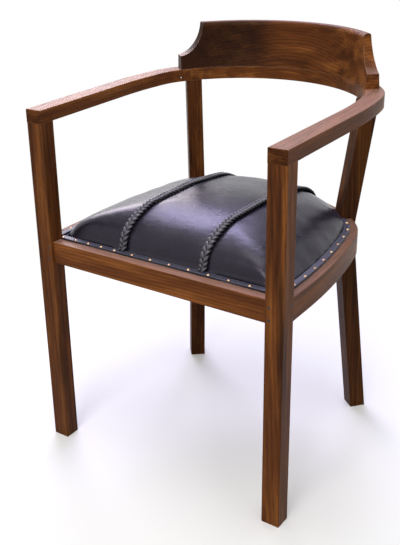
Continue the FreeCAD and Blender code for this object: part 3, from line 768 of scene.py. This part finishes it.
def add_camera():
    az, el, roll = (math.radians(angle) for angle in (CAMERA_AZIMUTH, CAMERA_ELEVATION, CAMERA_ROLL))
    back = Vector((math.sin(az) * math.cos(el), -math.cos(az) * math.cos(el), math.sin(el)))
    right = Vector((math.cos(az), math.sin(az), 0))
    up = back.cross(right)
    turned = Matrix((
        right * math.cos(roll) + up * math.sin(roll),
        up * math.cos(roll) - right * math.sin(roll),
        back,
    )).transposed().to_4x4()
    turned.translation = CAMERA_PLACE
    lens = bpy.data.cameras.new("camera")
    camera = bpy.data.objects.new("camera", lens)
    bpy.context.scene.collection.objects.link(camera)
    camera.matrix_world = turned
    width, height = PHOTO_SIZE
    lens.sensor_width = 36
    lens.lens = CAMERA_FOCUS / height * 36
    lens.shift_x = (width / 2 - CAMERA_CENTRE[0]) / height
    lens.shift_y = (CAMERA_CENTRE[1] - height / 2) / height
    bpy.context.scene.camera = camera


def add_lamp(name, place, target, size, watts, tint):
    """Soft box that faces a target."""
    lamp = bpy.data.lights.new(name, "AREA")
    lamp.shape = "RECTANGLE"
    lamp.size, lamp.size_y = size
    lamp.energy = watts
    lamp.color = tint
    holder = bpy.data.objects.new(name, lamp)
    bpy.context.scene.collection.objects.link(holder)
    aim = (Vector(target) - Vector(place)).to_track_quat("-Z", "Y")
    holder.matrix_world = Matrix.Translation(place) @ aim.to_matrix().to_4x4()
    holder.visible_camera = False


def seen_directly(graph):
    """1 for what the camera sees, also in a reflection or through glass, and 0 for light that bounces."""
    rays = [graph.add("ShaderNodeLightPath", output=kind)
            for kind in ("Is Camera Ray", "Is Glossy Ray", "Is Transmission Ray")]
    return graph.step(rays[0] + rays[1] + rays[2], 0.0, 1.0)


def add_world():
    """Plain pale surroundings."""
    world = bpy.data.worlds.new("studio")
    bpy.context.scene.world = world
    world.use_nodes = True
    graph = Graph(world.node_tree)
    plain = graph.add("ShaderNodeBackground", {}, {"Color": (0.95, 0.97, 1.0, 1), "Strength": 0.34})
    white = graph.add("ShaderNodeBackground", {}, {"Color": (1, 1, 1, 1), "Strength": 1.0})
    both = graph.add("ShaderNodeMixShader", {}, {0: seen_directly(graph), 1: plain, 2: white})
    graph.add("ShaderNodeOutputWorld", {}, {"Surface": both})


def add_floor():
    _, tints = settings()
    shape = bmesh.new()
    bmesh.ops.create_circle(shape, cap_ends=True, radius=9, segments=96)
    mesh = bpy.data.meshes.new("floor")
    shape.to_mesh(mesh)
    shape.free()
    material, graph = new_material("floor")
    floor_shader = graph.add("ShaderNodeBsdfPrincipled", {}, {
        "Base Color": tuple(tints.floor), "Roughness": 0.9, "Specular IOR Level": 0.1,
        "Emission Color": (1, 1, 1, 1), "Emission Strength": FLOOR_LIFT})
    white = graph.add("ShaderNodeEmission", {}, {"Color": (1, 1, 1, 1), "Strength": 1.0})
    dim = graph.add("ShaderNodeBsdfDiffuse", {}, {"Color": (0.30, 0.30, 0.31, 1)})
    away = graph.step(graph.length(graph.place()), 0.36, 0.95)
    shown = graph.add("ShaderNodeMixShader", {}, {0: away, 1: floor_shader, 2: white})
    both = graph.add("ShaderNodeMixShader", {}, {0: seen_directly(graph), 1: dim, 2: shown})
    graph.add("ShaderNodeOutputMaterial", {}, {"Surface": both})
    mesh.materials.append(material)
    floor = bpy.data.objects.new("floor", mesh)
    bpy.context.scene.collection.objects.link(floor)


# Operators


class CHAIR_OT_frame_wood(bpy.types.Operator):
    """Gives every board of the frame its own walnut, and the hidden wood its finish"""

    bl_idname = "chair.frame_wood"
    bl_label = "Wood of the frame"

    def execute(self, context):
        tints = context.scene.chair_colours
        for seed, node in enumerate(BOARDS):
            paint(node, board_wood(node, seed))
        plug = plain_wood("plug_wood", tuple(tints.plug), size=1.6)
        for node in ("front_rail_pegs", "side_rail_pegs"):
            paint(node, plug)
        hidden = plain_wood("block_wood", tuple(tints.block))
        for node in parts:
            if "corner_block_" in node and "screws" not in node or "spline" in node or "dowels" in node:
                paint(node, hidden)
        paint("seat_board", plywood())
        return {"FINISHED"}


class CHAIR_OT_metal(bpy.types.Operator):
    """Finishes the brass nails, the bright pins and the screws"""

    bl_idname = "chair.metal"
    bl_label = "Nails, pins and screws"

    def execute(self, context):
        nail = brass()
        for node in ("nails_front", "nails_left", "nails_right", "nails_rear"):
            paint(node, nail)
        bright = steel()
        for node in ("arm_pins", "corner_block_screws", "seat_board_screws"):
            paint(node, bright)
        return {"FINISHED"}


class CHAIR_OT_seat(bpy.types.Operator):
    """Builds the stuffed leather cover in three panels, the foam in it and the two braided laces"""

    bl_idname = "chair.seat"
    bl_label = "Leather seat and laces"

    def execute(self, context):
        skin = add_cover()
        add_foam()
        for side in (-1, 1):
            add_lace(skin, side)
        return {"FINISHED"}


class CHAIR_OT_bands(bpy.types.Operator):
    """Builds the leather band round the edge of the seat"""

    bl_idname = "chair.bands"
    bl_label = "Edge band"

    def execute(self, context):
        material = band_leather()
        for node in ("edge_band_front", "edge_band_left", "edge_band_right", "edge_band_rear"):
            add_band(node, material)
        return {"FINISHED"}


class CHAIR_OT_stage(bpy.types.Operator):
    """Adds the pale floor, the soft studio light and the camera"""

    bl_idname = "chair.stage"
    bl_label = "Floor, light and camera"

    def execute(self, context):
        add_camera()
        add_world()
        add_floor()
        seat = (0, 0, 0.45)
        add_lamp("key", (0.45, -2.7, 2.4), seat, (1.4, 1.4), 46, (1.0, 0.97, 0.93))
        add_lamp("sky", (-1.35, 1.70, 2.75), seat, (1.8, 0.9), 62, (0.68, 0.64, 1.0))
        add_lamp("left", (-1.95, 1.50, 1.60), seat, (1.3, 1.0), 26, (1.0, 0.92, 1.0))
        add_lamp("top", (0.2, -0.3, 3.0), seat, (2.0, 2.0), 40, (1.0, 0.99, 0.97))
        context.scene.view_settings.view_transform = "Standard"
        return {"FINISHED"}


class VIEW3D_PT_captains_chair(bpy.types.Panel):
    """Lists the steps that dress the chair"""

    bl_idname = "VIEW3D_PT_captains_chair"
    bl_label = "Captains chair"
    bl_space_type = "VIEW_3D"
    bl_region_type = "UI"
    bl_category = "Chair"

    def draw(self, context):
        for step in STEPS:
            self.layout.operator(step.bl_idname)
        for group in (context.scene.chair_sizes, context.scene.chair_colours):
            for key in group.__annotations__:
                self.layout.prop(group, key)


STEPS = (CHAIR_OT_stage, CHAIR_OT_frame_wood, CHAIR_OT_metal, CHAIR_OT_seat, CHAIR_OT_bands)
CLASSES = (ChairSizes, ChairColours, *STEPS, VIEW3D_PT_captains_chair)


def register():
    for one in CLASSES:
        bpy.utils.register_class(one)
    bpy.types.Scene.chair_sizes = PointerProperty(type=ChairSizes)
    bpy.types.Scene.chair_colours = PointerProperty(type=ChairColours)


def unregister():
    del bpy.types.Scene.chair_colours
    del bpy.types.Scene.chair_sizes
    for one in reversed(CLASSES):
        bpy.utils.unregister_class(one)


def main():
    register()
    bpy.ops.chair.stage()
    bpy.ops.chair.frame_wood()
    bpy.ops.chair.metal()
    bpy.ops.chair.seat()
    bpy.ops.chair.bands()


if __name__ == "__main__":
    main()
